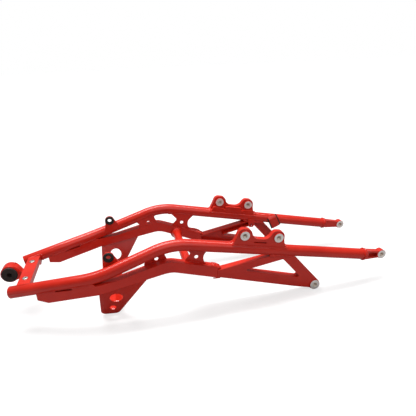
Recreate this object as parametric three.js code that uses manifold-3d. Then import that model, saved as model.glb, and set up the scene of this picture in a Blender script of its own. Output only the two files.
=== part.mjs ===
// A motorcycle seat subframe in welded, powder-coated steel: two bent top rails, pressed lower members,
// forged front eyes, two grab-handle brackets, a tail cross member with a rubber bush and two grommets.
// Millimetres, +X to the front of the vehicle, +Y to its left, +Z up. The frame stands on the lower corners of
// its two hanger plates and on its two lower front bosses, and the origin is under the middle of its box.
import * as THREE from 'three';
import { mergeVertices } from 'three/addons/utils/BufferGeometryUtils.js';
import Module from 'manifold-3d';

const wasm = await Module();
wasm.setup();

// ---------------------------------------------------------------- driving dimensions
const GAP = 0.3; // clearance kept between two pieces that touch
const REACH = 400; // longer than any cut has to be

const SHEET = 2.5; // pressed steel sheet
const TUBE_R = 12.5; // top rail, 25 mm tube
const TUBE_WALL = 2;
const TUBE_SIDES = 18;
const BEND_STEPS = 4;

// The left top rail's centre line: its corners, and the radius of its two bends.
const RAIL_TAIL = new THREE.Vector3(-395, 68.2, 78.4);
const RAIL_REAR_BEND = new THREE.Vector3(-223, 114, 107);
const RAIL_MAIN_BEND = new THREE.Vector3(-72, 108.3, 156.7);
const RAIL_FRONT = new THREE.Vector3(366, 97.5, 63.2);
const REAR_BEND_R = 190;
const MAIN_BEND_R = 135;

// The members and trusses under a rail follow its line in plan, but run inboard of it round their joint.
const INBOARD = 12; // at the joint
const INBOARD_FROM = -82;
const JOINT_X = 23;
const INBOARD_TO = 195;

const MEMBER_HALF = 10.5; // half width of the pressed members
const TRUSS_HALF = 9; // half width of the front trusses
const GUSSET_INSIDE = -10.5; // its inner face, from the rail's line
const WEB_HOLE_R = 4.2;
const SMALL_HOLE_R = 3.2;
const BOSS_R = 10.5; // turned bosses, 21 mm
const BOSS_BORE_R = 4.2; // tapped M10
const BOSS_SIDES = 20;

const EYE = new THREE.Vector3(415, 93.5, 56.3); // front mounting eye
const EYE_LENGTH = 15;
const COLLAR_R = 13.6;
const COLLAR_LENGTH = 7;
const SPIGOT_LENGTH = 16;
const NECK_REAR_HEIGHT = 21;
const NECK_FRONT_HEIGHT = 15;
const NECK_WIDTH = 15;
const NECK_WALL = 3.2;

const LOWER_BOSS_R = 11.6;
const LOWER_BOSS = { x: 244, z: LOWER_BOSS_R }; // its y follows the rail
const LOWER_BOSS_LENGTH = 24;

const BRACKET_BOSS_HEIGHT = 31.5; // boss axis above the rail's axis
const BRACKET_REAR = 149; // boss axes, measured along the rail from its main bend
const BRACKET_FRONT = 225;
const BRACKET_SHIFT = 3; // the bracket stands this far outboard of the rail's axis
const BRACKET_THICKNESS = 12;
const BRACKET_BASE_DEPTH = 8; // how far the base steps inboard of the upper part
const BRACKET_BOSS_LENGTH = 19;
const SLOT_HEIGHT = 17.5; // the thin slot in the bracket's outer face, above the rail's axis
const SLOT_HALF = 14.5;
const SLOT_DEPTH = 5;
const PIN_HOLE_HEIGHT = 18.3; // the two blind holes in its inner face
const PIN_HOLE_HALF = 23;

const HANGER_FOOT_Y = 81; // outer face of the hanger plate at the ground
const HANGER_LEAN = THREE.MathUtils.degToRad(22.8);
const HANGER_DEPTH = 11;
const HANGER_OPEN_TOP = 15; // the pan's hollow runs this far past its upper edge
const HANGER_WINDOW = { x: -191, up: 50, r: 13.5 }; // the two round holes, seen from the side
const HANGER_HOLE = { x: -201, up: 20, r: 7 };

// The tray between the hanger plates, in x and z: an upright rear rim, a flat floor, and a front that slopes up.
const BRACE = { rear: -216, fold: -196, front: -179, floor: 5, rim: 19, lip: 26 };

const GROMMET = new THREE.Vector3(-195, 100, 142);
const GROMMET_R = 10.4;
const GROMMET_BORE_R = 4.8;
const GROMMET_LENGTH = 9;
const GROMMET_NECK_R = 7.8; // the tab's hole
const TAB_R = 10.8;
const TAB_SHEET = 3;

const BUSH = new THREE.Vector3(-407, 0, 89.5); // tail bush
const BUSH_SLEEVE_R = 18.5;
const BUSH_SLEEVE_BORE_R = 13.5;
const BUSH_SLEEVE_LENGTH = 23;
const BUSH_FLANGE_R = 16.2;
const BUSH_FLANGE = 3.6;
const BUSH_BORE_R = 4.5;

const CROSS_TOP = 89.5; // top face of the tail cross member
const CROSS_REAR = -383;
const CROSS_FRONT = -358;
const CROSS_DEPTH = 13;
const CROSS_HALF = 74; // half its length, to the rails' axes
const CROSS_EAR = 69; // lowest point of the ears under the rails
const ARM_HALF = 9; // half width of the arm that carries the bush
const NUT_X = -371;
const NUT_SPACING = 76;
const NUT_HEAD_R = 5.8;
const NUT_BARREL_R = 4.4;
const NUT_BORE_R = 2.6;
const NUT_LENGTH = 11;

const MID_TUBE = new THREE.Vector3(-36, 0, 91);
const MID_TUBE_R = 9.5;
const MID_TUBE_FLARE_R = 13;
const MID_TUBE_FLARE = 14; // length of each flared end

const CLIP_X = 220; // the strap on the left rail
const CLIP_TILT = THREE.MathUtils.degToRad(22);
const CLIP_WIDTH = 21;
const CLIP_SHEET = 2;
const PAD_SHEET = 1.8;
const PAD_OVERHANG = 3;
const CLIP_DROP = 20;
const CLIP_END = 0.76 * Math.PI; // where it starts on the rail's inner side
const PAD_R = TUBE_R + 1.2;

// ---------------------------------------------------------------- materials
const RED = 0xb8180f;
const materials = {
  paint: () => new THREE.MeshStandardMaterial({ color: RED, roughness: 0.32, metalness: 0.1 }),
  machined: () => new THREE.MeshStandardMaterial({ color: 0xc9c2b8, roughness: 0.35, metalness: 0.95 }),
  zinc: () => new THREE.MeshStandardMaterial({ color: 0xb9c4c0, roughness: 0.3, metalness: 0.9 }),
  rubber: () => new THREE.MeshStandardMaterial({ color: 0x1d1b1c, roughness: 0.75, metalness: 0 }),
};

// ---------------------------------------------------------------- solids and cuts
function solid(geometry) {
  const bare = geometry.clone();
  bare.deleteAttribute('normal');
  bare.deleteAttribute('uv');
  const merged = mergeVertices(bare, 1e-4);
  const vertProperties = Float32Array.from(merged.attributes.position.array);
  const triVerts = Uint32Array.from(merged.index.array);
  return new wasm.Manifold(new wasm.Mesh({ numProp: 3, vertProperties, triVerts }));
}

function toGeometry(body) {
  const mesh = body.getMesh();
  const geometry = new THREE.BufferGeometry();
  geometry.setAttribute('position', new THREE.BufferAttribute(Float32Array.from(mesh.vertProperties), 3));
  geometry.setIndex(new THREE.BufferAttribute(Uint32Array.from(mesh.triVerts), 1));
  geometry.computeVertexNormals();
  return geometry;
}

// The same geometry on the other side of the mid-plane, with its faces still pointing out.
function mirrored(geometry) {
  const copy = geometry.clone();
  const y = copy.attributes.position;
  for (let i = 0; i < y.count; i += 1) {
    y.setY(i, -y.getY(i));
  }
  const index = copy.index.array;
  for (let i = 0; i < index.length; i += 3) {
    [index[i], index[i + 1]] = [index[i + 1], index[i]];
  }
  copy.computeVertexNormals();
  return copy;
}

// ---------------------------------------------------------------- outlines
// A closed outline through corners [a, b, radius]; a corner without a radius stays sharp.
function outline(corners) {
  const path = new THREE.Shape();
  const count = corners.length;
  corners.forEach(([a, b, radius = 0], i) => {
    const here = new THREE.Vector2(a, b);
    const before = new THREE.Vector2(...corners[(i + count - 1) % count].slice(0, 2)).sub(here).normalize();
    const after = new THREE.Vector2(...corners[(i + 1) % count].slice(0, 2)).sub(here).normalize();
    const half = Math.acos(THREE.MathUtils.clamp(before.dot(after), -1, 1)) / 2;
    const run = radius / Math.tan(half);
    const start = here.clone().addScaledVector(before, run);
    const end = here.clone().addScaledVector(after, run);
    if (i === 0) {
      path.moveTo(start.x, start.y);
    } else {
      path.lineTo(start.x, start.y);
    }
    if (radius > 0) {
      const middle = before.clone().add(after).normalize();
      const centre = here.clone().addScaledVector(middle, radius / Math.sin(half));
      const from = Math.atan2(start.y - centre.y, start.x - centre.x);
      const to = Math.atan2(end.y - centre.y, end.x - centre.x);
      path.absarc(centre.x, centre.y, radius, from, to, before.cross(after) > 0);
    }
  });
  path.closePath();
  return path;
}

// The corners moved inwards by a distance, or outwards by a negative one. They run counter-clockwise.
function inset(corners, distance) {
  const count = corners.length;
  const lines = corners.map(([a, b], i) => {
    const [c, d] = corners[(i + 1) % count];
    const along = new THREE.Vector2(c - a, d - b).normalize();
    const point = new THREE.Vector2(a - along.y * distance, b + along.x * distance);
    return { point, along };
  });
  return corners.map(([, , radius = 0], i) => {
    const one = lines[(i + count - 1) % count];
    const two = lines[i];
    const across = one.along.cross(two.along);
    const run = two.point.clone().sub(one.point).cross(two.along) / across;
    const convex = across > 0;
    const moved = radius > 0 ? Math.max(radius + (convex ? -distance : distance), 0) : 0;
    return [one.point.x + one.along.x * run, one.point.y + one.along.y * run, moved];
  });
}

function circle(a, b, radius) {
  const path = new THREE.Path();
  path.absarc(a, b, radius, 0, Math.PI * 2);
  return path;
}

function thick(shape, depth, curveSegments) {
  return new THREE.ExtrudeGeometry(shape, { depth, bevelEnabled: false, curveSegments });
}

// Extrusions of an outline: a side view (x, z) across y, a plan (x, y) up z, and a front view (y, z) along x.
function acrossY(shape, y0, y1, segments = 3) {
  return thick(shape, y1 - y0, segments).rotateX(Math.PI / 2).translate(0, y1, 0);
}

function upZ(shape, z0, z1, segments = 3) {
  return thick(shape, z1 - z0, segments).translate(0, 0, z0);
}

function alongX(shape, x0, x1, segments = 3) {
  const axes = new THREE.Matrix4().makeBasis(
    new THREE.Vector3(0, 1, 0),
    new THREE.Vector3(0, 0, 1),
    new THREE.Vector3(1, 0, 0),
  );
  return thick(shape, x1 - x0, segments).applyMatrix4(axes).translate(x0, 0, 0);
}

function bar(x, z, radius, y0, y1, sides = BOSS_SIDES) {
  return new THREE.CylinderGeometry(radius, radius, y1 - y0, sides).translate(x, (y0 + y1) / 2, z);
}

// A round cut through the left side, along y.
function hole(x, z, radius, sides = 12) {
  return solid(bar(x, z, radius, 0, REACH / 2, sides));
}

// A turned piece about y from [radius, y] points that close on themselves.
function turned(x, z, points, sides = BOSS_SIDES) {
  const closed = [...points, points[0]].map(([radius, y]) => new THREE.Vector2(radius, y));
  return new THREE.LatheGeometry(closed, sides).translate(x, 0, z);
}

function tubePoints(outer, bore, y0, y1, chamfer = 0.6) {
  return [
    [bore, y0],
    [outer - chamfer, y0],
    [outer, y0 + chamfer],
    [outer, y1 - chamfer],
    [outer - chamfer, y1],
    [bore, y1],
  ];
}

// ---------------------------------------------------------------- the rail's line
// A curve through stations, so that each straight stretch is one step and each bend a few.
class StationCurve extends THREE.Curve {
  constructor(stations) {
    super();
    this.stations = stations;
  }

  getPoint(t) {
    const place = t * (this.stations.length - 1);
    const i = Math.min(Math.floor(place + 1e-9), this.stations.length - 2);
    return this.stations[i].clone().lerp(this.stations[i + 1], place - i);
  }

  getPointAt(u) {
    return this.getPoint(u);
  }

  getTangentAt(u) {
    const last = this.stations.length - 1;
    const i = Math.round(u * last);
    const step = (k) => this.stations[k + 1].clone().sub(this.stations[k]).normalize();
    return step(Math.max(i - 1, 0)).add(step(Math.min(i, last - 1))).normalize();
  }
}

function bend(before, corner, after, radius) {
  const back = before.clone().sub(corner).normalize();
  const on = after.clone().sub(corner).normalize();
  const half = back.angleTo(on) / 2;
  const centre = corner.clone().addScaledVector(back.clone().add(on).normalize(), radius / Math.sin(half));
  const from = corner.clone().addScaledVector(back, radius / Math.tan(half)).sub(centre);
  const to = corner.clone().addScaledVector(on, radius / Math.tan(half)).sub(centre);
  const turn = from.angleTo(to);
  return Array.from({ length: BEND_STEPS + 1 }, (_, i) => {
    const share = i / BEND_STEPS;
    const one = from.clone().multiplyScalar(Math.sin((1 - share) * turn) / Math.sin(turn));
    return one.addScaledVector(to, Math.sin(share * turn) / Math.sin(turn)).add(centre);
  });
}

const railStations = [
  RAIL_TAIL,
  ...bend(RAIL_TAIL, RAIL_REAR_BEND, RAIL_MAIN_BEND, REAR_BEND_R),
  ...bend(RAIL_REAR_BEND, RAIL_MAIN_BEND, RAIL_FRONT, MAIN_BEND_R),
  RAIL_FRONT,
];

function railTube(outer, bore = 0) {
  const section = new THREE.Shape();
  section.absarc(0, 0, outer, 0, Math.PI * 2);
  if (bore > 0) {
    section.holes.push(circle(0, 0, bore));
  }
  const curve = new StationCurve(railStations);
  const steps = railStations.length - 1;
  return new THREE.ExtrudeGeometry(section, { extrudePath: curve, steps, curveSegments: TUBE_SIDES / 2 });
}

const railClearance = solid(railTube(TUBE_R + GAP));

// How far the rail's line is from the mid-plane at x: its corners in plan, joined by straight lines.
const PLAN = [RAIL_TAIL, RAIL_REAR_BEND, RAIL_MAIN_BEND, RAIL_FRONT];

function railY(x) {
  const i = PLAN.slice(1, -1).filter((corner) => x >= corner.x).length;
  const share = (x - PLAN[i].x) / (PLAN[i + 1].x - PLAN[i].x);
  return THREE.MathUtils.lerp(PLAN[i].y, PLAN[i + 1].y, share);
}

// The line of the members and trusses in plan.
function lowerY(x) {
  const rising = (x - INBOARD_FROM) / (JOINT_X - INBOARD_FROM);
  const falling = (INBOARD_TO - x) / (INBOARD_TO - JOINT_X);
  return railY(x) - INBOARD * THREE.MathUtils.clamp(Math.min(rising, falling), 0, 1);
}

// Everything between two offsets from a line, seen in plan.
function planStrip(low, high, line) {
  const bends = [RAIL_REAR_BEND.x, INBOARD_FROM, RAIL_MAIN_BEND.x, JOINT_X, INBOARD_TO];
  const ends = [RAIL_TAIL.x - 10, ...bends, EYE.x + 20];
  const inner = ends.map((x) => [x, line(x) + low]);
  const outer = ends.map((x) => [x, line(x) + high]).reverse();
  return solid(upZ(outline([...inner, ...outer]), -10, 200));
}

// A side view (x, z), kept only between two offsets from a line.
function pressed(shape, low, high, line = lowerY, segments = 3) {
  return solid(acrossY(shape, 0, REACH / 2, segments)).intersect(planStrip(low, high, line));
}

// The front part of the rail runs straight from its main bend: a place on it, and above it.
const railRun = Math.hypot(RAIL_FRONT.x - RAIL_MAIN_BEND.x, RAIL_FRONT.z - RAIL_MAIN_BEND.z);
const railCos = (RAIL_FRONT.x - RAIL_MAIN_BEND.x) / railRun;
const railSin = (RAIL_FRONT.z - RAIL_MAIN_BEND.z) / railRun;

function onRail(along, above) {
  const x = RAIL_MAIN_BEND.x + along * railCos - above * railSin;
  const z = RAIL_MAIN_BEND.z + along * railSin + above * railCos;
  return [x, z];
}

// ---------------------------------------------------------------- pieces of one side, made for the left
function topRail() {
  return railTube(TUBE_R, TUBE_R - TUBE_WALL);
}

// A forged end: a spigot in the tube, a collar, and a tapered neck with a pocket on its outer side.
function frontFitting() {
  const axis = RAIL_FRONT.clone().sub(RAIL_MAIN_BEND).normalize();
  const turn = new THREE.Quaternion().setFromUnitVectors(new THREE.Vector3(0, 1, 0), axis);
  const profile = [
    [0, -SPIGOT_LENGTH],
    [TUBE_R - TUBE_WALL - GAP, -SPIGOT_LENGTH],
    [TUBE_R - TUBE_WALL - GAP, GAP],
    [COLLAR_R - 1, GAP],
    [COLLAR_R, 2],
    [COLLAR_R, COLLAR_LENGTH - 2],
    [NECK_REAR_HEIGHT / 2 - 1, COLLAR_LENGTH + 1.5],
    [0, COLLAR_LENGTH + 1.5],
  ];
  const collar = new THREE.LatheGeometry(profile.map(([r, y]) => new THREE.Vector2(r, y)), BOSS_SIDES)
    .applyQuaternion(turn)
    .translate(RAIL_FRONT.x, RAIL_FRONT.y, RAIL_FRONT.z);
  const root = RAIL_FRONT.clone().addScaledVector(axis, COLLAR_LENGTH - 1);
  const side = outline([
    [root.x, root.z - NECK_REAR_HEIGHT / 2],
    [EYE.x - 2, EYE.z - NECK_FRONT_HEIGHT / 2],
    [EYE.x - 2, EYE.z + NECK_FRONT_HEIGHT / 2],
    [root.x, root.z + NECK_REAR_HEIGHT / 2],
  ]);
  const plan = outline([
    [root.x, root.y - NECK_WIDTH / 2],
    [EYE.x, EYE.y - EYE_LENGTH / 2 + 1],
    [EYE.x, EYE.y + EYE_LENGTH / 2 - 1],
    [root.x, root.y + NECK_WIDTH / 2],
  ]);
  const neck = solid(acrossY(side, 0, REACH / 2)).intersect(solid(upZ(plan, 0, REACH / 2)));
  const pocketRear = root.x + 6;
  const pocketFront = EYE.x - BOSS_R - 1.5;
  const pocket = outline([
    [pocketRear, root.z - NECK_REAR_HEIGHT / 2 + NECK_WALL + 1.2, 1.5],
    [pocketFront, EYE.z - NECK_FRONT_HEIGHT / 2 + NECK_WALL + 0.4, 1.5],
    [pocketFront, EYE.z + NECK_FRONT_HEIGHT / 2 - NECK_WALL + 0.8, 1.5],
    [pocketRear + 2, root.z + NECK_REAR_HEIGHT / 2 - NECK_WALL - 1.5, 1.5],
  ]);
  return solid(collar)
    .add(neck)
    .subtract(solid(acrossY(pocket, EYE.y - 1, REACH / 2)))
    .subtract(hole(EYE.x, EYE.z, BOSS_R + GAP, BOSS_SIDES));
}

function boss(x, z, middle, length, radius = BOSS_R) {
  return turned(x, z, tubePoints(radius, BOSS_BORE_R, middle - length / 2, middle + length / 2));
}

// The lower member's side view: a nose under the rail's tail, a crown behind its main bend, a blunt front.
const MEMBER_END = JOINT_X - GAP;
const MEMBER = [
  [-342, 65.5, 2],
  [-321, 59.2, 2],
  [-219, 75.6, 30],
  [-77.3, 99.9, 50],
  [MEMBER_END, 62],
  [MEMBER_END, 86.9],
  [-82, 123.8, 55],
  [-185, 99.2, 60],
  [-226, 95],
  [-234, 104],
  [-342.5, 84],
];

// The long slot through the rear of the member, in line with it.
function memberSlot() {
  const [half, rise] = [17, 1.8];
  const centre = new THREE.Vector2(-288, 87);
  const corners = [[-half, -rise], [half, -rise], [half, rise], [-half, rise]];
  return outline(corners.map(([a, b]) => {
    const corner = new THREE.Vector2(a, b).rotateAround(new THREE.Vector2(), 0.13).add(centre);
    return [corner.x, corner.y, 1.6];
  }));
}

// A pressed channel, open towards the mid-plane, with its flanges cut to the rail above it.
function lowerMember() {
  const inside = inset(MEMBER, SHEET);
  return pressed(outline(MEMBER), GAP + SHEET - MEMBER_HALF, MEMBER_HALF)
    .subtract(pressed(outline(inside), -REACH, MEMBER_HALF - SHEET))
    .subtract(pressed(memberSlot(), -REACH, REACH))
    .subtract(railClearance);
}

// The flat sheet that closes the channel on its inner side.
function innerWeb() {
  return pressed(outline(MEMBER), -MEMBER_HALF, SHEET - MEMBER_HALF)
    .subtract(pressed(memberSlot(), -REACH, REACH))
    .subtract(railClearance);
}

// An upright sheet with a hole, standing on the member and reaching the rail's inner side.
function gusset(corners, [x, z]) {
  return pressed(outline(corners), GUSSET_INSIDE, GUSSET_INSIDE + SHEET, railY)
    .subtract(pressed(outline(inset(MEMBER, -GAP)), -REACH, REACH))
    .subtract(hole(x, z, WEB_HOLE_R))
    .subtract(railClearance);
}

const REAR_GUSSET = [
  [-86, 108],
  [-80, 118],
  [-88, 139, 4],
  [-84, 144, 3],
  [-84, 152],
  [-134, 140],
  [-131, 127.5, 3],
  [-124.5, 121, 3],
  [-128, 117, 2],
  [-128, 108],
];
const FRONT_GUSSET = [
  [-10, 88],
  [7, 90],
  [-5, 101, 16],
  [-6, 117, 16],
  [10, 131, 3],
  [14, 143],
  [-52, 154],
  [-46, 142, 3],
  [-31, 124.5, 5],
  [-44, 113, 3],
  [-44, 102],
];

// The triangular front truss, pressed in one piece, open towards the mid-plane.
const TRUSS = [
  [JOINT_X, 62.6],
  [240, 3],
  [255.4, 17],
  [196.8, 87.4],
  [148, 98.5],
  [JOINT_X, 78.4],
];
const TRUSS_WINDOW = [
  [79, 70.3, 2],
  [210, 34.8, 3],
  [167.5, 86.3, 5],
];

function sideTruss() {
  const hollow = pressed(outline(inset(TRUSS, SHEET)), -REACH, TRUSS_HALF - SHEET)
    .subtract(pressed(outline(inset(TRUSS_WINDOW, -SHEET)), -REACH, REACH));
  return pressed(outline(TRUSS), -TRUSS_HALF, TRUSS_HALF)
    .subtract(hollow)
    .subtract(pressed(outline(TRUSS_WINDOW), -REACH, REACH))
    .subtract(hole(LOWER_BOSS.x, LOWER_BOSS.z, LOWER_BOSS_R + GAP, BOSS_SIDES))
    .subtract(railClearance);
}

// A small tab with a hole under the rail, on the truss's inner side.
function trussTab() {
  const tab = outline([
    [154, 81.5, 4],
    [167, 81.5, 4],
    [169.5, 104],
    [151.5, 104],
  ]);
  return pressed(tab, -TRUSS_HALF - GAP - SHEET, -TRUSS_HALF - GAP)
    .subtract(hole(160.5, 88, SMALL_HOLE_R))
    .subtract(railClearance);
}

// The grab-handle bracket: a saddle over the rail, thin between its two bosses and stepped out at its base.
function grabBracket() {
  const top = BRACKET_BOSS_HEIGHT + 13;
  const middle = (BRACKET_REAR + BRACKET_FRONT) / 2;
  const saddle = [
    [BRACKET_REAR - 24, 2],
    [BRACKET_FRONT + 23, 2],
    [BRACKET_FRONT + 15, 26, 12],
    [BRACKET_FRONT + 12, top + 1, 12],
    [BRACKET_FRONT - 12, top + 1, 12],
    [middle + 16, 25, 18],
    [middle - 16, 25, 18],
    [BRACKET_REAR + 12, top + 1, 12],
    [BRACKET_REAR - 12, top + 1, 12],
    [BRACKET_REAR - 17, 24, 12],
  ];
  const base = [
    [BRACKET_REAR - 23, 0],
    [BRACKET_FRONT + 22, 0],
    [BRACKET_FRONT + 14, 20, 3],
    [BRACKET_FRONT - 12, 17, 6],
    [BRACKET_FRONT - 20, 23, 6],
    [BRACKET_REAR + 20, 23, 6],
    [BRACKET_REAR + 12, 17, 6],
    [BRACKET_REAR - 14, 20, 3],
  ];
  const placed = (corners) => outline(corners.map(([a, b, radius]) => [...onRail(a, b), radius]));
  const outer = BRACKET_SHIFT + BRACKET_THICKNESS / 2;
  const inner = BRACKET_SHIFT - BRACKET_THICKNESS / 2;
  const slot = [
    [middle - SLOT_HALF, SLOT_HEIGHT - 1.4, 1.3],
    [middle + SLOT_HALF, SLOT_HEIGHT - 1.4, 1.3],
    [middle + SLOT_HALF, SLOT_HEIGHT + 1.4, 1.3],
    [middle - SLOT_HALF, SLOT_HEIGHT + 1.4, 1.3],
  ];
  let body = pressed(placed(saddle), inner, outer, railY, 4)
    .add(pressed(placed(base), inner - BRACKET_BASE_DEPTH, inner + 1, railY, 2))
    .subtract(pressed(placed(slot), outer - SLOT_DEPTH, REACH, railY))
    .subtract(railClearance);
  [middle - PIN_HOLE_HALF, middle + PIN_HOLE_HALF].forEach((along) => {
    const [x, z] = onRail(along, PIN_HOLE_HEIGHT);
    body = body.subtract(solid(bar(x, z, SMALL_HOLE_R, 0, railY(x) + inner - 2, 12)));
  });
  [BRACKET_REAR, BRACKET_FRONT].forEach((along) => {
    const [x, z] = onRail(along, BRACKET_BOSS_HEIGHT);
    body = body.subtract(hole(x, z, BOSS_R + GAP, BOSS_SIDES));
  });
  return body;
}

function bracketBoss(along) {
  const [x, z] = onRail(along, BRACKET_BOSS_HEIGHT);
  return boss(x, z, railY(x) + BRACKET_SHIFT, BRACKET_BOSS_LENGTH);
}

// The hanger plate: a leaning pan, flanged inwards on its rear, lower and front edges.
function hangerPlate() {
  const stretch = 1 / Math.cos(HANGER_LEAN);
  const corners = [
    [-227.5, 3.8, 11],
    [-191.5, -0.7, 12],
    [-126.5, 90.4 * stretch],
    [-222, 76.4 * stretch],
  ];
  const inside = inset(corners, SHEET);
  inside[2] = [inside[2][0] + HANGER_OPEN_TOP, inside[2][1] + HANGER_OPEN_TOP];
  inside[3] = [inside[3][0], inside[3][1] + HANGER_OPEN_TOP];
  const through = ({ x, up, r }, sides) => solid(bar(x, up * stretch, r, -REACH, REACH, sides));
  const pan = solid(acrossY(outline(corners), -HANGER_DEPTH, 0))
    .subtract(solid(acrossY(outline(inside), -2 * HANGER_DEPTH, -SHEET)))
    .subtract(through(HANGER_WINDOW, 20))
    .subtract(through(HANGER_HOLE, 12));
  const leaning = toGeometry(pan).rotateX(-HANGER_LEAN).translate(0, HANGER_FOOT_Y, 0);
  return solid(leaning).subtract(pressed(outline(inset(MEMBER, -GAP)), -REACH, REACH));
}

// The tab that carries the grommet, on the rail's inner side.
function grommetTab() {
  const { x, z } = GROMMET;
  const tab = outline([
    [x - 15, z - 33],
    [x + 24, z - 20],
    [x + TAB_R, z + 2, 4],
    [x + TAB_R, z + TAB_R, TAB_R - 0.4],
    [x - TAB_R, z + TAB_R, TAB_R - 0.4],
    [x - TAB_R, z - 8, 4],
  ]);
  return solid(acrossY(tab, GROMMET.y - TAB_SHEET / 2, GROMMET.y + TAB_SHEET / 2))
    .subtract(hole(x, z, GROMMET_NECK_R, BOSS_SIDES))
    .subtract(railClearance);
}

function grommet() {
  const half = GROMMET_LENGTH / 2;
  const lip = TAB_SHEET / 2 + GAP;
  const groove = GROMMET_NECK_R - GAP;
  const points = [
    [GROMMET_BORE_R, -half + 0.8],
    [GROMMET_BORE_R + 1, -half],
    [GROMMET_R - 1.6, -half],
    [GROMMET_R, -half + 1.4],
    [GROMMET_R, -lip],
    [groove, -lip],
    [groove, lip],
    [GROMMET_R, lip],
    [GROMMET_R, half - 1.4],
    [GROMMET_R - 1.6, half],
    [GROMMET_BORE_R + 1, half],
    [GROMMET_BORE_R, half - 0.8],
  ];
  return solid(turned(GROMMET.x, GROMMET.z, points).translate(0, GROMMET.y, 0)).subtract(railClearance);
}

// ---------------------------------------------------------------- pieces on the mid-plane, and the strap
const bothRails = railClearance.add(solid(mirrored(toGeometry(railClearance))));

// An inverted channel between the tail ends of the rails, with a triangular ear at each end of its flanges.
function tailCrossMember() {
  const top = outline([
    [CROSS_REAR, -CROSS_HALF],
    [CROSS_FRONT, -CROSS_HALF],
    [CROSS_FRONT, CROSS_HALF],
    [CROSS_REAR, CROSS_HALF],
  ]);
  const low = CROSS_TOP - CROSS_DEPTH;
  const flange = outline([
    [-CROSS_HALF, CROSS_TOP],
    [-CROSS_HALF, CROSS_EAR + 5],
    [16 - CROSS_HALF, CROSS_EAR, 2],
    [26 - CROSS_HALF, low, 6],
    [CROSS_HALF - 26, low, 6],
    [CROSS_HALF - 16, CROSS_EAR, 2],
    [CROSS_HALF, CROSS_EAR + 5],
    [CROSS_HALF, CROSS_TOP],
  ]);
  let body = solid(upZ(top, CROSS_TOP - SHEET, CROSS_TOP))
    .add(solid(alongX(flange, CROSS_REAR, CROSS_REAR + SHEET)))
    .add(solid(alongX(flange, CROSS_FRONT - SHEET, CROSS_FRONT)))
    .subtract(bothRails);
  [-NUT_SPACING / 2, NUT_SPACING / 2].forEach((y) => {
    const bore = new THREE.CylinderGeometry(NUT_BARREL_R + GAP, NUT_BARREL_R + GAP, REACH, 16);
    body = body.subtract(solid(bore.rotateX(Math.PI / 2).translate(NUT_X, y, 0)));
  });
  return body;
}

function rivetNut(y) {
  const points = [
    [NUT_BORE_R, 0.8],
    [NUT_HEAD_R - 0.5, 0.8],
    [NUT_HEAD_R, 0],
    [NUT_HEAD_R, -GAP],
    [NUT_BARREL_R, -GAP],
    [NUT_BARREL_R, -NUT_LENGTH],
    [NUT_BORE_R, -NUT_LENGTH],
  ].reverse();
  const closed = [...points, points[0]].map(([radius, height]) => new THREE.Vector2(radius, height));
  return new THREE.LatheGeometry(closed, 16)
    .rotateX(Math.PI / 2)
    .translate(NUT_X, y, CROSS_TOP + 2 * GAP);
}

// A folded arm, open below, from the cross member back to the bush sleeve.
function tailArm() {
  const rear = CROSS_REAR - GAP;
  const side = [
    [BUSH.x, BUSH.z - BUSH_SLEEVE_R + 1],
    [rear, CROSS_TOP - CROSS_DEPTH],
    [rear, CROSS_TOP],
    [BUSH.x + 16, BUSH.z + 13, 8],
    [BUSH.x, BUSH.z + BUSH_SLEEVE_R],
  ];
  const inside = inset(side, SHEET);
  inside[0][1] -= CROSS_DEPTH;
  inside[1][1] -= CROSS_DEPTH;
  return solid(acrossY(outline(side), -ARM_HALF, ARM_HALF))
    .subtract(solid(acrossY(outline(inside), SHEET - ARM_HALF, ARM_HALF - SHEET)))
    .subtract(solid(bar(BUSH.x, BUSH.z, BUSH_SLEEVE_R + GAP, -REACH, REACH)));
}

function bushSleeve() {
  const half = BUSH_SLEEVE_LENGTH / 2;
  return turned(BUSH.x, BUSH.z, tubePoints(BUSH_SLEEVE_R, BUSH_SLEEVE_BORE_R, -half, half), 24);
}

function tailBush() {
  const half = BUSH_SLEEVE_LENGTH / 2 + GAP;
  const body = BUSH_SLEEVE_BORE_R - GAP;
  const face = half + BUSH_FLANGE;
  const points = [
    [BUSH_BORE_R, -face + 1],
    [BUSH_BORE_R + 1.5, -face],
    [BUSH_FLANGE_R - 1.5, -face],
    [BUSH_FLANGE_R, -face + 1.5],
    [BUSH_FLANGE_R, -half],
    [body, -half],
    [body, half],
    [BUSH_FLANGE_R, half],
    [BUSH_FLANGE_R, face - 1.5],
    [BUSH_FLANGE_R - 1.5, face],
    [BUSH_BORE_R + 1.5, face],
    [BUSH_BORE_R, face - 1],
  ];
  return turned(BUSH.x, BUSH.z, points, 24);
}

// The tube between the two lower members, flared where it meets them.
function midCrossTube() {
  const end = lowerY(MID_TUBE.x + MID_TUBE_FLARE_R) - MEMBER_HALF - 2 * GAP;
  const straight = end - MID_TUBE_FLARE;
  const points = [
    [MID_TUBE_FLARE_R - TUBE_WALL, -end],
    [MID_TUBE_FLARE_R, -end],
    [MID_TUBE_R, -straight],
    [MID_TUBE_R, straight],
    [MID_TUBE_FLARE_R, end],
    [MID_TUBE_FLARE_R - TUBE_WALL, end],
    [MID_TUBE_R - TUBE_WALL, straight],
    [MID_TUBE_R - TUBE_WALL, -straight],
  ];
  return turned(MID_TUBE.x, MID_TUBE.z, points, 20);
}

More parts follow.
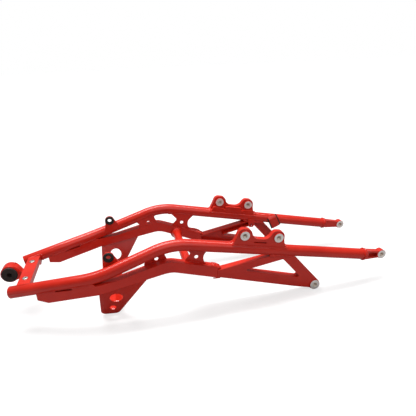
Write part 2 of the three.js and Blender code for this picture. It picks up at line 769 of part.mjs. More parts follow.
// The folded tray between the feet of the two hanger plates.
function hangerBrace() {
  const { rear, fold, front, floor, rim, lip } = BRACE;
  const slope = Math.atan2(lip - floor, front - fold);
  const section = outline([
    [rear, rim],
    [rear, floor],
    [fold, floor],
    [front, lip],
    [front - SHEET / Math.sin(slope), lip],
    [fold - SHEET * Math.tan(slope / 2), floor + SHEET],
    [rear + SHEET, floor + SHEET],
    [rear + SHEET, rim],
  ]);
  const outside = new THREE.BoxGeometry(2 * REACH, REACH, REACH)
    .translate(0, REACH / 2 - HANGER_DEPTH - GAP, 0)
    .rotateX(-HANGER_LEAN)
    .translate(0, HANGER_FOOT_Y, 0);
  const flipped = outside.clone().rotateZ(Math.PI);
  return solid(acrossY(section, -HANGER_FOOT_Y, HANGER_FOOT_Y))
    .subtract(solid(outside))
    .subtract(solid(flipped));
}

// A strap hooked over the left rail, hanging inside it, and the rubber strip under it.
function strapProfile(radius, thickness, drop) {
  const path = new THREE.Shape();
  const outer = radius + thickness;
  path.moveTo(-outer, -drop);
  path.lineTo(-outer, 0);
  path.absarc(0, 0, outer, Math.PI, CLIP_END, true);
  path.lineTo(radius * Math.cos(CLIP_END), radius * Math.sin(CLIP_END));
  path.absarc(0, 0, radius, CLIP_END, Math.PI, false);
  path.lineTo(-radius, -drop);
  path.closePath();
  return path;
}

function onLeftRail(shape, width) {
  const share = (CLIP_X - RAIL_MAIN_BEND.x) / (RAIL_FRONT.x - RAIL_MAIN_BEND.x);
  const { x, y, z } = RAIL_MAIN_BEND.clone().lerp(RAIL_FRONT, share);
  const strap = alongX(shape, -width / 2, width / 2, 4).rotateY(-CLIP_TILT);
  return solid(strap.translate(x, y, z)).subtract(railClearance);
}

function cableStrap() {
  return onLeftRail(strapProfile(PAD_R + PAD_SHEET + GAP, CLIP_SHEET, CLIP_DROP), CLIP_WIDTH);
}

function strapPad() {
  return onLeftRail(strapProfile(PAD_R, PAD_SHEET, CLIP_DROP), CLIP_WIDTH + 2 * PAD_OVERHANG);
}

// ---------------------------------------------------------------- the assembly
const frame = new THREE.Group();

function place(name, shape, material) {
  const whole = shape instanceof THREE.BufferGeometry ? toGeometry(solid(shape)) : toGeometry(shape);
  const mesh = new THREE.Mesh(whole, material());
  mesh.name = name;
  frame.add(mesh);
  return whole;
}

const eyeBoss = () => boss(EYE.x, EYE.z, EYE.y, EYE_LENGTH);
const lowerBoss = () => (
  boss(LOWER_BOSS.x, LOWER_BOSS.z, railY(LOWER_BOSS.x), LOWER_BOSS_LENGTH, LOWER_BOSS_R)
);

const sidePieces = [
  ['top_rail', topRail, materials.paint],
  ['front_fitting', frontFitting, materials.paint],
  ['front_eye_boss', eyeBoss, materials.machined],
  ['lower_member', lowerMember, materials.paint],
  ['inner_web', innerWeb, materials.paint],
  ['rear_gusset', () => gusset(REAR_GUSSET, [-102.5, 125]), materials.paint],
  ['front_gusset', () => gusset(FRONT_GUSSET, [-20.2, 115.5]), materials.paint],
  ['side_truss', sideTruss, materials.paint],
  ['lower_boss', lowerBoss, materials.machined],
  ['truss_tab', trussTab, materials.paint],
  ['grab_bracket', grabBracket, materials.paint],
  ['grab_boss_rear', () => bracketBoss(BRACKET_REAR), materials.machined],
  ['grab_boss_front', () => bracketBoss(BRACKET_FRONT), materials.machined],
  ['hanger_plate', hangerPlate, materials.paint],
  ['grommet_tab', grommetTab, materials.paint],
  ['grommet', grommet, materials.rubber],
];

sidePieces.forEach(([name, make, material]) => {
  const left = place(`${name}_left`, make(), material);
  place(`${name}_right`, mirrored(left), material);
});

place('tail_cross_member', tailCrossMember(), materials.paint);
place('rivet_nut_left', rivetNut(NUT_SPACING / 2), materials.zinc);
place('rivet_nut_right', rivetNut(-NUT_SPACING / 2), materials.zinc);
place('tail_arm', tailArm(), materials.paint);
place('bush_sleeve', bushSleeve(), materials.paint);
place('tail_bush', tailBush(), materials.rubber);
place('mid_cross_tube', midCrossTube(), materials.paint);
place('hanger_brace', hangerBrace(), materials.paint);
place('cable_strap', cableStrap(), materials.paint);
place('strap_pad', strapPad(), materials.rubber);

export default frame;
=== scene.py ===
import math
import random

import bmesh
import bpy
from mathutils import Matrix, Vector


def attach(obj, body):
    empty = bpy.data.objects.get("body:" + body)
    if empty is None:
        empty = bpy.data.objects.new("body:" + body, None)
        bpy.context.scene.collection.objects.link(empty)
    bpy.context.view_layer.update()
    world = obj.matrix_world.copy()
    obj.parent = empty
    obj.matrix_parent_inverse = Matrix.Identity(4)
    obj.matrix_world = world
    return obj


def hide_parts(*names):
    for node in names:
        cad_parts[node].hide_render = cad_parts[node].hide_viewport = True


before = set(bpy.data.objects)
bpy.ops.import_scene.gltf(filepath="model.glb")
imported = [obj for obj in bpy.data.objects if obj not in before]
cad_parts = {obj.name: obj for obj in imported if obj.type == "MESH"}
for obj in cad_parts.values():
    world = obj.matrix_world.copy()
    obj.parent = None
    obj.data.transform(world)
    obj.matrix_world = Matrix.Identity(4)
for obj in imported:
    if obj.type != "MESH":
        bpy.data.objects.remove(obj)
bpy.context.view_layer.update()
MM = 0.001
SIDES = (("left", 1), ("right", -1))

# ---------------------------------------------------------------- dimensions, in millimetres, as in the CAD
RAIL = [Vector(p) for p in ((-395, 68.2, 78.4), (-223, 114, 107), (-72, 108.3, 156.7), (366, 97.5, 63.2))]
RAIL_BENDS = {1: 190, 2: 135}
RAIL_R = 12.5
ROUND_RAIL_R = 12.3  # a little under RAIL_R, so that the round tube stays inside the box of the faceted one
RAIL_WALL = 2
BOSS_R = 10.5
BORE_R = 4.2
EYE = (415, 93.5, 56.3)
LOWER_BOSS_R = 11.6
LOWER_BOSS = (244, 100.508, 11.6)
LOWER_BOSS_LENGTH = 24
BRACKET_REAR, BRACKET_FRONT = 149, 225
BOSS_HEIGHT = 31.5
BRACKET_SHIFT = 3
GROMMET = (-195, 100, 142)
BUSH = (-407, 0, 89.5)
NUT = (-371, 38, 90.1)
MID_TUBE = (-36, 0, 91)
MID_TUBE_END = 89.2
HANGER_LEAN = math.tan(math.radians(22.8))
HANGER_FOOT_Y = 81

# The lower members and the trusses run inboard of the rails between these places, most at their joint.
INBOARD = 12
INBOARD_FROM, JOINT_X, INBOARD_TO = -82, 23, 195
MEMBER_CREST = (-82, 123.8)
MEMBER_FRONT = (22.7, 86.9)

# Where the lower member and the two gussets of each side touch the rail.
MEMBER_STRETCHES = ((-338, -300), (-276, -236))
GUSSET_STRETCHES = ((-132, -86), (-51, 12))


# ---------------------------------------------------------------- materials
class Nodes:
    """A small helper that adds nodes to one material."""

    def __init__(self, name):
        self.material = bpy.data.materials.new(name)
        self.material.use_nodes = True
        self.tree = self.material.node_tree
        self.shader = self.tree.nodes["Principled BSDF"]

    def add(self, kind, **inputs):
        node = self.tree.nodes.new(kind)
        for key, value in inputs.items():
            self.feed(node, key.replace("_", " "), value)
        return node

    def feed(self, node, key, value):
        socket = node.inputs[int(key)] if key.isdigit() else node.inputs[key]
        if isinstance(value, bpy.types.NodeSocket):
            self.tree.links.new(value, socket)
        else:
            socket.default_value = value

    def noise(self, scale, detail=3.0, rough=0.5):
        where = self.add("ShaderNodeTexCoord").outputs["Object"]
        node = self.add("ShaderNodeTexNoise", Vector=where, Scale=scale, Detail=detail, Roughness=rough)
        return node.outputs["Fac"]

    def spread(self, value, low, high, start=0.3, end=0.7):
        node = self.add("ShaderNodeMapRange", Value=value)
        for key, number in (("From Min", start), ("From Max", end), ("To Min", low), ("To Max", high)):
            node.inputs[key].default_value = number
        return node.outputs["Result"]

    def ramp(self, value, *stops):
        node = self.add("ShaderNodeValToRGB", Fac=value)
        elements = node.color_ramp.elements
        while len(elements) < len(stops):
            elements.new(0.5)
        for element, (place, colour) in zip(elements, stops):
            element.position = place
            element.color = (*colour, 1)
        return node.outputs["Color"]

    def bump(self, height, strength, distance, normal=None):
        node = self.add("ShaderNodeBump", Height=height, Strength=strength, Distance=distance)
        if normal:
            self.feed(node, "Normal", normal)
        return node.outputs["Normal"]

    def set(self, **inputs):
        for key, value in inputs.items():
            self.feed(self.shader, key.replace("_", " "), value)
        return self.material


def powder_coat():
    """Glossy red paint with orange peel and slow changes of tone."""
    n = Nodes("red_powder_coat")
    tone = n.ramp(n.noise(22, 4), (0.3, (0.54, 0.013, 0.004)), (0.7, (0.63, 0.020, 0.0065)))
    peel = n.noise(620, 2)
    ripple = n.noise(140, 2)
    normal = n.bump(peel, 0.16, 0.0004, n.bump(ripple, 0.12, 0.0012))
    return n.set(
        Base_Color=tone,
        Roughness=n.spread(n.noise(45, 3), 0.34, 0.44),
        Normal=normal,
        Specular_IOR_Level=0.22,
        Coat_Weight=0.5,
        Coat_Roughness=0.16,
        Coat_IOR=1.45,
    )


def turned_steel():
    """Bare steel with the rings that a lathe leaves round the Y axis."""
    n = Nodes("turned_steel")
    where = n.add("ShaderNodeTexCoord").outputs["Object"]
    rings = n.add("ShaderNodeTexWave", Vector=where, Scale=190.0, Distortion=0.4, Detail=2.0)
    rings.wave_type = "RINGS"
    rings.rings_direction = "Y"
    tone = n.ramp(n.noise(260, 4), (0.3, (0.82, 0.77, 0.73)), (0.7, (0.95, 0.92, 0.89)))
    return n.set(
        Base_Color=tone,
        Metallic=0.45,
        Roughness=n.spread(n.noise(420, 3), 0.26, 0.42),
        Normal=n.bump(rings.outputs["Fac"], 0.35, 0.0002),
        Anisotropic=0.4,
    )


def thread_steel():
    """The warmer, oily steel inside the bores."""
    n = Nodes("oiled_thread")
    tone = n.ramp(n.noise(300, 3), (0.3, (0.62, 0.50, 0.40)), (0.7, (0.85, 0.75, 0.66)))
    return n.set(Base_Color=tone, Metallic=0.5, Roughness=n.spread(n.noise(500, 2), 0.28, 0.45))


def zinc_plate():
    """The plating of the two threaded inserts."""
    n = Nodes("zinc_plate")
    tone = n.ramp(n.noise(380, 4), (0.3, (0.42, 0.44, 0.42)), (0.7, (0.66, 0.68, 0.64)))
    bump = n.bump(n.noise(900, 2), 0.2, 0.0002)
    return n.set(Base_Color=tone, Metallic=0.9, Roughness=n.spread(n.noise(300, 3), 0.25, 0.4), Normal=bump)


def moulded_rubber():
    """Dull black rubber with a fine grain."""
    n = Nodes("moulded_rubber")
    tone = n.ramp(n.noise(90, 5), (0.3, (0.013, 0.009, 0.008)), (0.75, (0.032, 0.024, 0.020)))
    normal = n.bump(n.noise(1500, 3), 0.35, 0.0003, n.bump(n.noise(160, 2), 0.2, 0.0008))
    return n.set(
        Base_Color=tone,
        Roughness=n.spread(n.noise(240, 4), 0.55, 0.78),
        Normal=normal,
        Specular_IOR_Level=0.35,
    )


PAINT = powder_coat()
STEEL = turned_steel()
THREAD = thread_steel()
ZINC = zinc_plate()
RUBBER = moulded_rubber()


# ---------------------------------------------------------------- mesh helpers
def piece(name, bm, materials, replaces=(), place=(0, 0, 0), crease=40):
    """A finished piece from a bmesh in millimetres, riding on the frame's one body."""
    bmesh.ops.recalc_face_normals(bm, faces=bm.faces)
    bmesh.ops.scale(bm, vec=(MM, MM, MM), verts=bm.verts)
    mesh = bpy.data.meshes.new(name)
    bm.to_mesh(mesh)
    bm.free()
    for material in materials:
        mesh.materials.append(material)
    mesh.shade_smooth()
    mesh.set_sharp_from_angle(angle=math.radians(crease))
    obj = bpy.data.objects.new(name, mesh)
    obj.location = Vector(place) * MM
    bpy.context.scene.collection.objects.link(obj)
    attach(obj, "root")
    if replaces:
        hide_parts(*replaces)
    return obj


def mirror(bm):
    """The same mesh on the other side of the mid-plane."""
    bmesh.ops.scale(bm, vec=(1, -1, 1), verts=bm.verts)
    bmesh.ops.reverse_faces(bm, faces=bm.faces)
    return bm


def both(name, make, materials, replaces=(), place=(0, 0, 0), crease=40):
    """A left piece and its mirror image."""
    for side, sign in SIDES:
        bm = make()
        if sign < 0:
            mirror(bm)
        spot = (place[0], place[1] * sign, place[2])
        piece(f"{name}_{side}", bm, materials, [f"{n}_{side}" for n in replaces], spot, crease)


def skin(bm, rings, closed=False):
    """Faces between rings of points with the same count."""
    rows = [[bm.verts.new(p) for p in ring] for ring in rings]
    pairs = list(zip(rows, rows[1:])) + ([(rows[-1], rows[0])] if closed else [])
    for one, two in pairs:
        for i in range(len(one)):
            j = (i + 1) % len(one)
            bm.faces.new((one[i], one[j], two[j], two[i]))
    if not closed:
        bm.faces.new(rows[0][::-1])
        bm.faces.new(rows[-1])
    return rows


def lathe(bm, profile, sides=48, axis="Y", marks=()):
    """A closed profile of (radius, height) turned about an axis, with a material for each step in marks."""
    rings = []
    for radius, height in profile:
        ring = []
        for k in range(sides):
            a = 2 * math.pi * k / sides
            u, v = radius * math.cos(a), radius * math.sin(a)
            ring.append((u, height, v) if axis == "Y" else (u, v, height))
        rings.append(ring)
    before = len(bm.faces)
    skin(bm, rings, closed=True)
    bm.faces.ensure_lookup_table()
    for k, index in enumerate(marks):
        for i in range(sides):
            bm.faces[before + k * sides + i].material_index = index
    return bm


def frames(points):
    """A tangent, and two directions across it that don't twist, for each point of a path."""
    result = []
    across = None
    for i, p in enumerate(points):
        along = (points[min(i + 1, len(points) - 1)] - points[max(i - 1, 0)]).normalized()
        if across is None:
            start = Vector((0, 0, 1)) if abs(along.z) < 0.9 else Vector((0, 1, 0))
            across = start.cross(along).normalized()
        across = (across - along * across.dot(along)).normalized()
        result.append((along, across, along.cross(across)))
    return result


def resample(points, step):
    """The same path with a point every step."""
    lengths = [0.0]
    for a, b in zip(points, points[1:]):
        lengths.append(lengths[-1] + (b - a).length)
    count = max(int(lengths[-1] / step), 2)
    result = []
    k = 0
    for i in range(count + 1):
        s = lengths[-1] * i / count
        while k < len(lengths) - 2 and lengths[k + 1] < s:
            k += 1
        share = (s - lengths[k]) / max(lengths[k + 1] - lengths[k], 1e-9)
        result.append(points[k].lerp(points[k + 1], min(max(share, 0), 1)))
    return result


BEAD_STEP = 0.7
BEAD_PITCH = 2.4
BEAD_SIDES = 8


def bead(bm, points, radius, seed=1, loop=False):
    """A weld bead along a path: overlapping ripples, a little uneven, with rounded ends."""
    rng = random.Random(seed)
    path = resample([Vector(p) for p in points], BEAD_STEP)
    if loop:
        path = path[:-1]
    phases = [rng.uniform(0, 2 * math.pi) for _ in range(3)]
    count = len(path)
    rings = []
    for i, (point, (along, across, up)) in enumerate(zip(path, frames(path))):
        s = i * BEAD_STEP
        size = 1 + 0.10 * abs(math.sin(math.pi * s / BEAD_PITCH)) + 0.10 * math.sin(s / 5.1 + phases[0])
        size += 0.07 * math.sin(s / 2.9 + phases[1])
        if not loop:
            end = min(i, count - 1 - i) * BEAD_STEP / radius
            size *= math.sqrt(max(1 - (1 - min(end, 1)) ** 2, 0.02))
        wander = 0.12 * radius * math.sin(s / 7.3 + phases[2])
        reach = size * radius
        ring = []
        for k in range(BEAD_SIDES):
            a = 2 * math.pi * k / BEAD_SIDES
            ring.append(point + across * (math.cos(a) * reach + wander) + up * math.sin(a) * reach)
        rings.append(ring)
    if loop:
        skin(bm, rings, closed=True)
    else:
        skin(bm, rings)


def arc(centre, radius, start, end, y, count=24):
    """Points of an arc in a side view, angles in degrees from +X towards +Z."""
    result = []
    for i in range(count + 1):
        a = math.radians(start + (end - start) * i / count)
        result.append(Vector((centre[0] + radius * math.cos(a), y, centre[2] + radius * math.sin(a))))
    return result


# ---------------------------------------------------------------- the rail's line
def rail_line(arc_steps=28):
    """The left rail's centre line, straight between its bends."""
    line = [RAIL[0]]
    for i, radius in RAIL_BENDS.items():
        back = (RAIL[i - 1] - RAIL[i]).normalized()
        on = (RAIL[i + 1] - RAIL[i]).normalized()
        half = back.angle(on) / 2
        centre = RAIL[i] + (back + on).normalized() * radius / math.sin(half)
        one = RAIL[i] + back * radius / math.tan(half) - centre
        two = RAIL[i] + on * radius / math.tan(half) - centre
        turn = one.angle(two)
        for k in range(arc_steps + 1):
            share = k / arc_steps
            spoke = one * math.sin((1 - share) * turn) + two * math.sin(share * turn)
            line.append(centre + spoke / math.sin(turn))
    line.append(RAIL[3])
    return line


LINE = rail_line()


def rail_frame(x):
    """The rail's centre, outward and upward directions at x."""
    k = next((i for i in range(len(LINE) - 2) if LINE[i + 1].x > x), len(LINE) - 2)
    a, b = LINE[k], LINE[k + 1]
    centre = a.lerp(b, (x - a.x) / (b.x - a.x))
    along = (b - a).normalized()
    up = Vector((0, 0, 1))
    up = (up - along * up.dot(along)).normalized()
    return centre, up.cross(along), up


def on_skin(x, angle, radius=RAIL_R):
    """A point on the rail's surface: 0 degrees is outboard, 90 is its top."""
    centre, out, up = rail_frame(x)
    a = math.radians(angle)
    return centre + out * math.cos(a) * radius + up * math.sin(a) * radius


def along_skin(x0, x1, angle, radius=RAIL_R, step=6):
    """A path along the rail's surface at one angle."""
    count = max(int(abs(x1 - x0) / step), 1)
    return [on_skin(x0 + (x1 - x0) * i / count, angle, radius) for i in range(count + 1)]


def round_skin(x, a0, a1, radius=RAIL_R, count=10):
    """A path round the rail's surface at one place."""
    return [on_skin(x, a0 + (a1 - a0) * i / count, radius) for i in range(count + 1)]


def on_rail(along, above):
    """A place in the side view, from the main bend along the front of the rail and above its axis."""
    run = (RAIL[3] - RAIL[2]).xz.normalized()
    return RAIL[2].x + along * run.x - above * run.y, RAIL[2].z + along * run.y + above * run.x


def rail_y(x):
    """The rail's line in plan, with sharp corners at its bends."""
    k = 0 if x < RAIL[1].x else 1 if x < RAIL[2].x else 2
    return RAIL[k].y + (x - RAIL[k].x) / (RAIL[k + 1].x - RAIL[k].x) * (RAIL[k + 1].y - RAIL[k].y)


def lower_y(x):
    """The line of the lower member and the truss, which runs inboard of the rail around their joint."""
    rise = (x - INBOARD_FROM) / (JOINT_X - INBOARD_FROM)
    fall = (INBOARD_TO - x) / (INBOARD_TO - JOINT_X)
    return rail_y(x) - INBOARD * max(min(rise, fall), 0)


def member_top(x):
    """The height of the lower member's upper edge between its crest and its front end."""
    (crest_x, crest_z), (front_x, front_z) = MEMBER_CREST, MEMBER_FRONT
    return front_z + (front_x - x) * (crest_z - front_z) / (front_x - crest_x)


# ---------------------------------------------------------------- tubes and turned pieces
def top_rail():
    """The left rail: a bent tube with a real wall, open at its tail, where its edges are broken."""
    bm = bmesh.new()
    lip = 0.5
    path = [LINE[0], LINE[0].lerp(LINE[1], 0.004)] + LINE[1:]
    turns = frames(path)
    outer, inner = [], []
    for i, (point, (along, across, up)) in enumerate(zip(path, turns)):
        grow = -lip if i == 0 else 0
        for rings, radius in ((outer, ROUND_RAIL_R + grow), (inner, ROUND_RAIL_R - RAIL_WALL - grow)):
            ring = []
            for k in range(48):
                a = 2 * math.pi * k / 48
                ring.append(point + across * math.cos(a) * radius + up * math.sin(a) * radius)
            rings.append(ring)
    skin(bm, outer + inner[::-1], closed=True)
    return bm


both("rail_tube", top_rail, [PAINT], ["top_rail"])


def boss_body(length, thread_turns, boss_r=BOSS_R):
    """A turned boss, painted outside, with bare countersunk faces and a real thread in its bore."""
    bm = bmesh.new()
    half = length / 2
    rim, sink = 0.45, 0.9
    end = [
        (BORE_R, half - sink), (BORE_R + sink, half - 0.02), (boss_r - rim - 0.4, half),
        (boss_r - rim, half - 0.1), (boss_r, half - rim),
    ]
    profile = [(r, -y) for r, y in end[1:]] + end[::-1] + [(BORE_R, sink - half)]
    lathe(bm, profile, 56, marks=(1, 1, 0, 0, 0, 1, 1, 2, 2, 2))
    steps, pitch, depth = 28, (length - 2 * sink) / thread_turns, 0.55
    rings = []
    for i in range(thread_turns * steps + 1):
        a = 2 * math.pi * i / steps
        y = -half + sink + pitch * i / steps
        fade = min(1, i / steps, thread_turns - i / steps)
        ring = []
        for radius, offset in ((BORE_R + 0.2, -0.42), (BORE_R - depth * fade, 0), (BORE_R + 0.2, 0.42)):
            ring.append((radius * math.cos(a), y + offset * pitch, radius * math.sin(a)))
        rings.append(ring)
    before = len(bm.faces)
    skin(bm, rings)
    bm.faces.ensure_lookup_table()
    for face in bm.faces[before:]:
        face.material_index = 2
    return bm


BOSS_MATERIALS = [PAINT, STEEL, THREAD]
both("eye_boss", lambda: boss_body(15, 9), BOSS_MATERIALS, ["front_eye_boss"], EYE)
both(
    "low_boss", lambda: boss_body(LOWER_BOSS_LENGTH, 15, LOWER_BOSS_R), BOSS_MATERIALS,
    ["lower_boss"], LOWER_BOSS,
)
GRAB = {}
for end, along in (("rear", BRACKET_REAR), ("front", BRACKET_FRONT)):
    x, z = on_rail(along, BOSS_HEIGHT)
    GRAB[end] = (x, rail_y(x) + BRACKET_SHIFT, z)
    both(
        f"handle_boss_{end}", lambda: boss_body(19, 12), BOSS_MATERIALS,
        [f"grab_boss_{end}"], GRAB[end],
    )


def grommet_ring():
    """A rubber ring with a flange on each side of its tab and a groove in each face."""
    bm = bmesh.new()
    half = [
        (4.9, 3.5), (5.2, 4.1), (5.9, 4.5), (7.2, 4.5), (7.6, 4.1), (8.1, 4.1), (8.5, 4.5),
        (9.3, 4.4), (10.0, 3.8), (10.4, 2.9), (10.4, 2.1), (10.1, 1.8), (7.6, 1.8),
    ]
    profile = [(r, -y) for r, y in half] + half[::-1]
    return lathe(bm, profile, 48)


both("rubber_grommet", grommet_ring, [RUBBER], ["grommet"], GROMMET)


def tail_rubber():
    """The big rubber bush, proud of its sleeve on both sides."""
    bm = bmesh.new()
    half = [
        (4.5, 13.6), (4.8, 14.6), (5.6, 15.3), (6.8, 15.4), (7.4, 15.0), (8.6, 14.7), (11.6, 14.7),
        (12.6, 15.0), (13.2, 15.4), (14.4, 15.3), (15.6, 14.8), (16.2, 13.8), (16.2, 12.4), (15.8, 11.9),
        (13.2, 11.8),
    ]
    profile = [(r, -y) for r, y in half] + half[::-1]
    return lathe(bm, profile, 56)


piece("tail_rubber", tail_rubber(), [RUBBER], ["tail_bush"], BUSH)


def sleeve():
    """The ring of steel round the tail's rubber bush."""
    bm = bmesh.new()
    profile = [
        (13.5, -11), (14, -11.5), (17.6, -11.5), (18.3, -11.2), (18.5, -10.5),
        (18.5, 10.5), (18.3, 11.2), (17.6, 11.5), (14, 11.5), (13.5, 11),
    ]
    return lathe(bm, profile, 64)


piece("tail_sleeve", sleeve(), [PAINT], ["bush_sleeve"], BUSH)


def insert():
    """An insert with a flat head and a sleeve that goes through the plate."""
    bm = bmesh.new()
    profile = [
        (2.6, 0.3), (3.1, 0.8), (4.9, 0.8), (5.5, 0.5), (5.8, 0), (5.8, -0.3),
        (4.4, -0.35), (4.4, -10.6), (4, -11), (2.6, -11),
    ]
    return lathe(bm, profile, 40, axis="Z")


both("threaded_insert", insert, [ZINC], ["rivet_nut"], NUT)


def cross_tube():
    """The tube between the two lower members, flared at both ends."""
    bm = bmesh.new()
    end, flare, wall = MID_TUBE_END, 14, 2
    outer, inner = [], []
    for i in range(9):
        s = i / 8
        swell = 3.5 * (1 - s) ** 2
        outer.append((9.5 + swell, -end + flare * s))
        inner.append((9.5 - wall + swell, -end + flare * s))
    outer += [(r, -y) for r, y in outer[::-1]]
    inner += [(r, -y) for r, y in inner[::-1]]
    return lathe(bm, outer + inner[::-1], 48)


piece("middle_tube", cross_tube(), [PAINT], ["mid_cross_tube"], MID_TUBE)


# ---------------------------------------------------------------- pressed and forged pieces
MERGE = 1e-6
FLAT = math.radians(1.0)


def rounded(node, name, width, material):
    """The CAD solid with its triangles joined into faces and its edges rounded."""
    bm = bmesh.new()
    bm.from_mesh(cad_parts[node].data)
    bmesh.ops.remove_doubles(bm, verts=bm.verts, dist=MERGE)
    bmesh.ops.dissolve_limit(bm, angle_limit=FLAT, verts=bm.verts, edges=bm.edges)
    bmesh.ops.scale(bm, vec=(1 / MM,) * 3, verts=bm.verts)
    obj = piece(name, bm, [material], [node])
    bevel = obj.modifiers.new("rounding", "BEVEL")
    bevel.width = width * MM
    bevel.segments = 2
    bevel.limit_method = "ANGLE"
    bevel.angle_limit = math.radians(32)
    bevel.miter_outer = "MITER_ARC"
    bevel.harden_normals = True
    return obj


PRESSED = {
    "lower_member": 0.7, "inner_web": 0.5, "rear_gusset": 0.5, "front_gusset": 0.5, "side_truss": 0.7,
    "truss_tab": 0.4, "grab_bracket": 0.9, "hanger_plate": 0.8, "grommet_tab": 0.6, "front_fitting": 0.8,
}
for base, width in PRESSED.items():
    for side, _ in SIDES:
        rounded(f"{base}_{side}", f"{base}_skin_{side}", width, PAINT)
SINGLE = {"tail_cross_member": 0.8, "tail_arm": 0.8, "hanger_brace": 0.7, "cable_strap": 0.4}
for base, width in SINGLE.items():
    rounded(base, f"{base}_skin", width, PAINT)
rounded("strap_pad", "strap_pad_skin", 0.4, RUBBER)


# ---------------------------------------------------------------- welds
def side_angle(offset):
    """The angle on the rail's skin at a distance outboard of its axis, on the upper half."""
    return math.degrees(math.acos(offset / RAIL_R))


def bracket_weld():
    """A weld all round the foot of the grab bracket."""
    bm = bmesh.new()
    rear = on_rail(BRACKET_REAR - 23, 6)[0]
    front = on_rail(BRACKET_FRONT + 22, 6)[0]
    outer, inner = side_angle(9.3), side_angle(-11.3)
    path = along_skin(rear, front, outer)
    path += round_skin(front, outer, inner)[1:]
    path += along_skin(front, rear, inner)[1:]
    path += round_skin(rear, inner, outer)[1:]
    bead(bm, path, 1.7, 3, loop=True)
    return bm


def member_weld():
    """Welds on both sides of the lower member where it touches the rail."""
    bm = bmesh.new()
    low = -side_angle(10.6)
    for k, (a, b) in enumerate(MEMBER_STRETCHES):
        bead(bm, along_skin(a, b, low), 1.5, 10 + k)
        bead(bm, along_skin(a, b, -180 - low), 1.5, 20 + k)
    return bm


def gusset_weld():
    """Welds on both sides of the gussets' tops, and at the foot of the front one."""
    bm = bmesh.new()
    for k, (a, b) in enumerate(GUSSET_STRETCHES):
        bead(bm, along_skin(a, b, 180 + side_angle(10.6)), 1.5, 30 + k)
        bead(bm, along_skin(a, b, 180 + side_angle(7.6)), 1.5, 40 + k)
    feet = [(x, rail_y(x) - 9.2, member_top(x) - 0.2) for x in (-44, -20, 4)]
    bead(bm, feet, 1.6, 34)
    return bm


def truss_weld():
    """The lumpy butt weld between member and truss, and the fillets between truss and rail."""
    bm = bmesh.new()
    line = lower_y(JOINT_X)
    out, back = line + 10.6, line - 9.5
    x = JOINT_X - 0.2
    bead(bm, [(x, out - 1.5, 61.8), (x, out, 63.5), (x, out, 75), (x, out, 84), (x, out - 1.5, 86)], 1.3, 50)
    bead(bm, [(x, out - 2, 87), (x, line, 87.4), (x, back, 87.2)], 1.4, 51)
    bead(bm, [(x, out - 1, 62.6), (x, line, 62.4), (x, back, 62.6)], 1.3, 56)
    bead(bm, [(x, back, 63.5), (x, back, 86)], 1.4, 57)
    bead(bm, [(12, out - 0.6, 62.6), (18, out - 0.2, 61.9), (28, out - 1, 61.2)], 1.2, 58)
    lumps = [(5, 1.4, 92.6), (12, 1.2, 90.3), (19, 1.5, 87.6), (26, 2.4, 83)]
    bead(bm, [(x, out - inset, z) for x, inset, z in lumps], 2.3, 60)
    for k, y in enumerate((back + 1.2, line - 3, line + 3)):
        bead(bm, [(13, y, 89.6), (20, y, 87.2), (25, y, 84.2), (31, y, 80.2)], 2.4, 61 + k)
    for k, offset in enumerate((7.8, -7.8)):
        points = []
        for i in range(13):
            x = 140 + i * 4.6
            centre, _, _ = rail_frame(x)
            points.append((x, centre.y + offset, centre.z - 10.6))
        bead(bm, points, 2.2, 52 + k)
    corner = rail_frame(145)[0]
    blob = [(136, 5, -11.4), (144, 7, -12.2), (152, 7.6, -12)]
    bead(bm, [(x, corner.y + y, corner.z + z) for x, y, z in blob], 2.6, 59)
    return bm


def boss_welds():
    """Part rings at the lower boss and the eye, and full rings at the grab bosses."""
    bm = bmesh.new()
    y = LOWER_BOSS[1]
    for k, side in enumerate((-9, 9)):
        bead(bm, arc(LOWER_BOSS, LOWER_BOSS_R + 0.2, 50, 225, y + side), 1.2, 60 + k)
    for k, centre in enumerate(GRAB.values()):
        for m, side in enumerate((-5.8, 5.8)):
            path = arc(centre, BOSS_R + 0.2, 0, 360, centre[1] + side, 48)
            bead(bm, path, 0.8, 62 + 2 * k + m, loop=True)
    for k, side in enumerate((-6, 6)):
        bead(bm, arc(EYE, BOSS_R + 0.2, 130, 236, EYE[1] + side), 0.9, 70 + k)
    return bm


def collar_weld():
    """The ring where the front fitting's collar meets the rail."""
    bm = bmesh.new()
    path = round_skin(366.3, 0, 360, RAIL_R + 0.2, 48)
    bead(bm, path, 1.7, 80, loop=True)
    return bm


def tab_weld():
    """Short welds at the grommet tab and at the truss tab."""
    bm = bmesh.new()
    bead(bm, along_skin(-209, -172, 157, RAIL_R + 0.2), 1.4, 90)
    bead(bm, along_skin(-207, -174, 203, RAIL_R + 0.2), 1.4, 91)
    bead(bm, along_skin(153, 168, 180 + side_angle(10.4), RAIL_R + 0.2), 1.3, 92)
    return bm


def tail_weld():
    """Welds round the ends of the tail cross member."""
    bm = bmesh.new()
    bead(bm, along_skin(-383.5, -357.5, 145, RAIL_R, 3), 1.6, 100)
    bead(bm, round_skin(-383, 145, 232), 1.5, 101)
    bead(bm, round_skin(-358, 145, 232), 1.5, 102)
    return bm


def hanger_weld():
    """Two welds along the top of the leaning hanger plate."""
    bm = bmesh.new()
    for k, inboard in enumerate((-0.8, 3.4)):
        points = []
        for i in range(16):
            x = -219 + i * 5.6
            z = 75.6 + (x + 219) * 0.1715
            points.append((x, HANGER_FOOT_Y + z * HANGER_LEAN - inboard, z + 0.5))
        bead(bm, points, 1.5, 110 + k)
    return bm


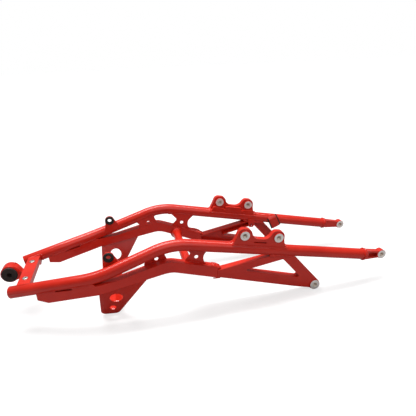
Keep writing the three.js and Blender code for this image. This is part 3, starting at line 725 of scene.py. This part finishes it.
def centre_welds():
    """Welds at the cross tube's ends, and round the tail arm at both of its ends."""
    bm = bmesh.new()
    for k, side in enumerate((-1, 1)):
        ring = arc(MID_TUBE, 13.2, 0, 360, 0, 48)
        path = [(p.x, side * (lower_y(p.x) - 10.9), p.z) for p in ring]
        bead(bm, path, 1.4, 120 + k, loop=True)
    for k, y in enumerate((-9, 9)):
        bead(bm, [(-383.4, y, 77.5), (-383.4, y, 88.5)], 1.3, 122 + k)
        bead(bm, arc(BUSH, 18.8, -48, 62, y), 1.3, 124 + k)
    bead(bm, [(-383.6, -8.5, 89.3), (-383.6, 8.5, 89.3)], 1.2, 126)
    return bm


SIDE_WELDS = {
    "bracket_weld": bracket_weld, "member_weld": member_weld, "gusset_weld": gusset_weld,
    "truss_weld": truss_weld, "boss_weld": boss_welds, "collar_weld": collar_weld, "tab_weld": tab_weld,
    "tail_weld": tail_weld, "hanger_weld": hanger_weld,
}
for name, make in SIDE_WELDS.items():
    both(name, make, [PAINT], crease=80)
piece("centre_weld", centre_welds(), [PAINT], crease=80)


# ---------------------------------------------------------------- floor, light and camera, in metres
FLOOR_RADIUS = 30
FLOOR_GAP = 0.0005


def pale_floor():
    """White with a faint shadow to the camera, and duller in the light that it gives the object."""
    n = Nodes("pale_floor")
    tone = n.ramp(n.noise(0.8, 2), (0.3, (0.34, 0.34, 0.34)), (0.7, (0.36, 0.36, 0.36)))
    n.set(Base_Color=tone, Roughness=0.9, Specular_IOR_Level=0.1)
    glow = n.add("ShaderNodeEmission", Strength=0.68)
    bright = n.add("ShaderNodeAddShader")
    dull = n.add("ShaderNodeBsdfDiffuse", Color=(0.32, 0.31, 0.31, 1))
    mix = n.add("ShaderNodeMixShader", Fac=n.add("ShaderNodeLightPath").outputs["Is Camera Ray"])
    n.tree.links.new(n.shader.outputs[0], bright.inputs[0])
    n.tree.links.new(glow.outputs[0], bright.inputs[1])
    n.tree.links.new(dull.outputs[0], mix.inputs[1])
    n.tree.links.new(bright.outputs[0], mix.inputs[2])
    n.tree.links.new(mix.outputs[0], n.tree.nodes["Material Output"].inputs["Surface"])
    return n.material


def floor():
    """A wide pale disc just under the object."""
    mesh = bpy.data.meshes.new("floor")
    bm = bmesh.new()
    bmesh.ops.create_circle(bm, cap_ends=True, radius=FLOOR_RADIUS, segments=96)
    bm.to_mesh(mesh)
    bm.free()
    mesh.materials.append(pale_floor())
    obj = bpy.data.objects.new("floor", mesh)
    obj.location = (0, 0, -FLOOR_GAP)
    bpy.context.scene.collection.objects.link(obj)


def light(name, place, target, size, power):
    """A rectangular lamp that points at the target."""
    data = bpy.data.lights.new(name, "AREA")
    data.shape = "RECTANGLE"
    data.size, data.size_y = size
    data.energy = power
    obj = bpy.data.objects.new(name, data)
    obj.location = place
    obj.rotation_euler = (Vector(target) - Vector(place)).to_track_quat("-Z", "Y").to_euler()
    bpy.context.scene.collection.objects.link(obj)


def sun(name, place, strength, spread):
    """A far light that shines from place towards the origin, soft by its spread in degrees."""
    data = bpy.data.lights.new(name, "SUN")
    data.energy = strength
    data.angle = math.radians(spread)
    obj = bpy.data.objects.new(name, data)
    obj.rotation_euler = (-Vector(place)).to_track_quat("-Z", "Y").to_euler()
    bpy.context.scene.collection.objects.link(obj)


floor()
sun("overhead", (-0.15, 0.35, 1.0), 2.3, 40)
sun("front", (0.2, -1.0, 0.9), 0.8, 50)
light("strip", (0.0, 0.25, 1.6), (0, 0, 0.1), (2.4, 0.16), 22)


def studio():
    """A world that is white to the camera and dim as a light."""
    world = bpy.data.worlds.new("studio")
    world.use_nodes = True
    tree = world.node_tree
    shown = tree.nodes["Background"]
    shown.inputs["Strength"].default_value = 1.0
    shown.inputs["Color"].default_value = (1, 1, 1, 1)
    lit = tree.nodes.new("ShaderNodeBackground")
    lit.inputs["Strength"].default_value = 0.2
    lit.inputs["Color"].default_value = (1, 1, 1, 1)
    path = tree.nodes.new("ShaderNodeLightPath")
    mix = tree.nodes.new("ShaderNodeMixShader")
    tree.links.new(path.outputs["Is Camera Ray"], mix.inputs[0])
    tree.links.new(lit.outputs[0], mix.inputs[1])
    tree.links.new(shown.outputs[0], mix.inputs[2])
    tree.links.new(mix.outputs[0], tree.nodes["World Output"].inputs["Surface"])
    bpy.context.scene.world = world


studio()


def camera():
    """Looks at the frame's right side from above and from slightly behind its middle."""
    data = bpy.data.cameras.new("camera")
    data.sensor_width = 36
    data.lens = 34.615
    right = Vector((0.97562, -0.21523, -0.04305))
    up = Vector((0.11489, 0.33363, 0.93569))
    back = Vector((-0.18702, -0.91781, 0.35022))
    obj = bpy.data.objects.new("camera", data)
    turn = Matrix((right, up, back)).transposed().to_4x4()
    obj.matrix_world = Matrix.Translation((-0.140, -0.8306, 0.4993)) @ turn
    bpy.context.scene.collection.objects.link(obj)
    bpy.context.scene.camera = obj


camera()
bpy.context.scene.view_settings.view_transform = "Standard"
